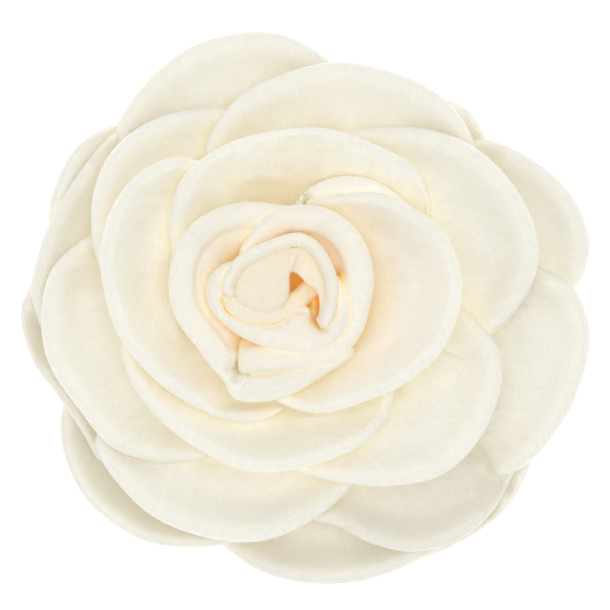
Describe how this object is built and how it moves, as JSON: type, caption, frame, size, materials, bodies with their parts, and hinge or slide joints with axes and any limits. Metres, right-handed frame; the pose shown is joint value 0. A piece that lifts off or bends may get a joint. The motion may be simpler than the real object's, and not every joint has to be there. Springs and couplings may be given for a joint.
{
  "type": "flower hair clip",
  "caption": "Rose-shaped hair clip: layered satin petals sewn to a stiff felt-backed disc, glued to a sprung alligator clip with a hinged lower jaw.",
  "frame": {"origin": "under the middle of the rose's outline, on the plane of the clip's flat belly", "axes": "+Z out of the rose's face, +X along the clip towards its jaw tip, +Y across the clip towards the top of the rose"},
  "size_m": [0.1006, 0.0978, 0.0425],
  "materials": {
    "satin": "matt satin weave",
    "inner_satin": "matt satin weave",
    "buckram": "stiffened open weave",
    "felt": "pressed felt",
    "hot_glue": "set hot-melt glue",
    "clip_steel": "bright nickel plate",
    "pin_steel": "riveted steel",
    "spring_steel": "drawn spring wire"
  },
  "bodies": {
    "rose": {"bud_petal": "inner_satin", "bud_wrap": "inner_satin", "ring_right": "inner_satin", "ring_left": "inner_satin", "bud_core": "inner_satin", "inner_right": "satin", "inner_tuck": "satin", "inner_top": "satin", "inner_left": "satin", "inner_bottom": "satin", "middle_lower_right": "satin", "middle_right": "satin", "middle_top": "satin", "middle_upper_left": "satin", "middle_left": "satin", "middle_bottom": "satin", "outer_right_low": "satin", "outer_right_up": "satin", "outer_upper_right": "satin", "outer_top": "satin", "outer_lower_right": "satin", "outer_left": "satin", "back_upper_left": "satin", "back_left": "satin", "back_lower_left": "satin", "back_bottom": "satin", "back_lower_right": "satin", "base_disc": "buckram", "felt_backing": "felt", "glue_pad": "hot_glue", "upper_jaw": "clip_steel", "hinge_pin": "pin_steel", "torsion_spring": "spring_steel"},
    "lower_jaw": {"lower_jaw": "clip_steel"}
  },
  "joints": [
    {"name": "jaw_hinge", "type": "hinge", "parent": "rose", "child": "lower_jaw", "pos_m": [-0.00885, 0.00014, 0.0037], "axis": [0, 1, 0], "range_deg": [0, 18], "stiffness_Nm_per_rad": 0.06, "springref_deg": -34.38, "deforming": ["torsion_spring"]}
  ]
}
